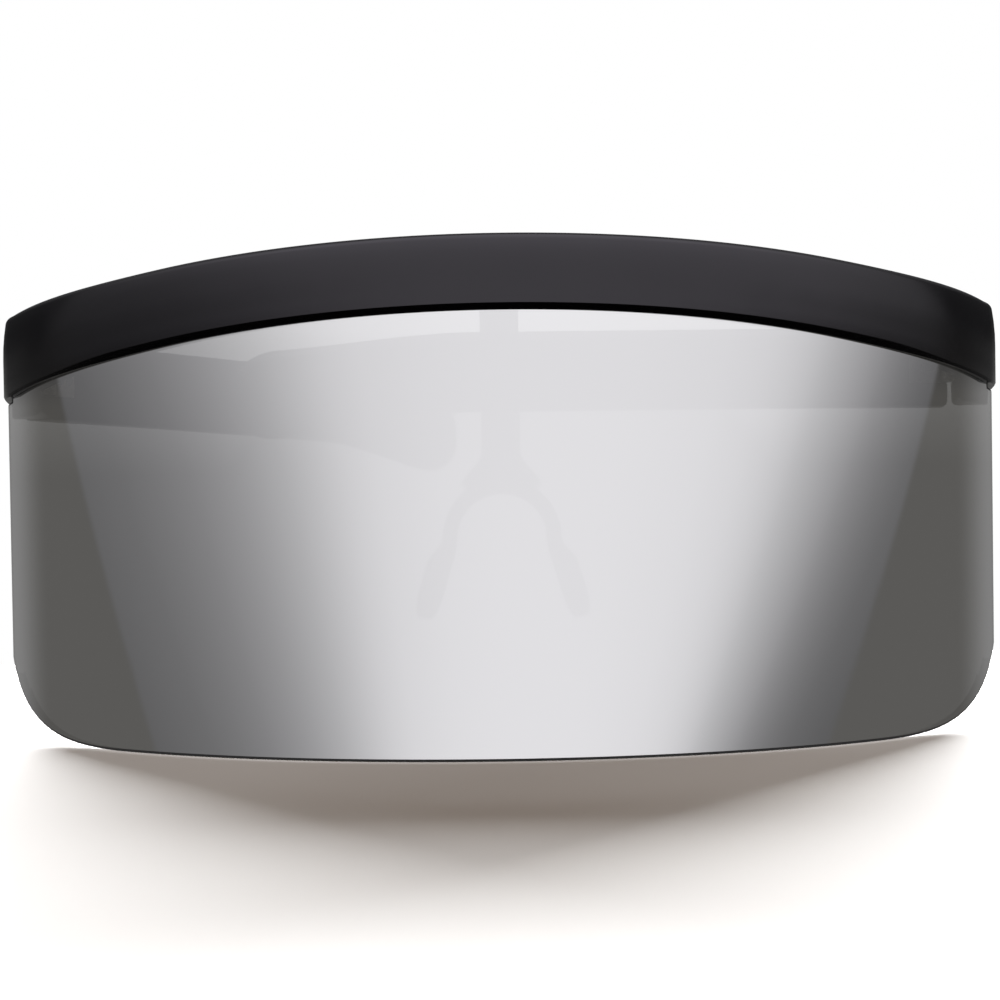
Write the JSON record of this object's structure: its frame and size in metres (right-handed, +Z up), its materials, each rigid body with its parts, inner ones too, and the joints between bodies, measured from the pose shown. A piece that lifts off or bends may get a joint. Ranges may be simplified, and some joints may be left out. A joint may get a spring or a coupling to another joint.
{
  "type": "shield sunglasses",
  "caption": "Oversize shield sunglasses: one wrapped silver-mirror lens under a thick arched black brow bar, with a nose bridge and folding temples.",
  "frame": {"origin": "middle of the lens's flat bottom edge, at half of the lens's thickness", "axes": "+X to the wearer's left, +Y back towards the face, +Z up; the lens faces -Y"},
  "size_m": [0.172, 0.1624, 0.0843],
  "materials": {
    "frame_plastic": "injection-moulded, satin black",
    "lens_mirror": "smoke polycarbonate with a silver mirror coating on the front",
    "nose_plastic": "clear smoke plastic, moulded",
    "hinge_metal": "stamped and rolled nickel silver",
    "screw_metal": "turned stainless steel"
  },
  "bodies": {
    "front": {"brow_bar": "frame_plastic", "shield_lens": "lens_mirror", "nose_bridge": "nose_plastic", "nose_screws": "screw_metal", "left_front_leaf": "hinge_metal", "left_front_leaf_screws": "screw_metal", "left_hinge_screw": "screw_metal", "right_front_leaf": "hinge_metal", "right_front_leaf_screws": "screw_metal", "right_hinge_screw": "screw_metal"},
    "left_temple": {"left_temple": "frame_plastic", "left_temple_leaf": "hinge_metal", "left_temple_leaf_screws": "screw_metal"},
    "right_temple": {"right_temple": "frame_plastic", "right_temple_leaf": "hinge_metal", "right_temple_leaf_screws": "screw_metal"}
  },
  "joints": [
    {"name": "left_temple_hinge", "type": "hinge", "parent": "front", "child": "left_temple", "pos_m": [0.07849, 0.05439, 0.062], "axis": [0, -0.0872, -0.9962], "range_deg": [0, 92.5]},
    {"name": "right_temple_hinge", "type": "hinge", "parent": "front", "child": "right_temple", "pos_m": [-0.07849, 0.05439, 0.062], "axis": [0, 0.0872, 0.9962], "range_deg": [-54, 34]}
  ]
}
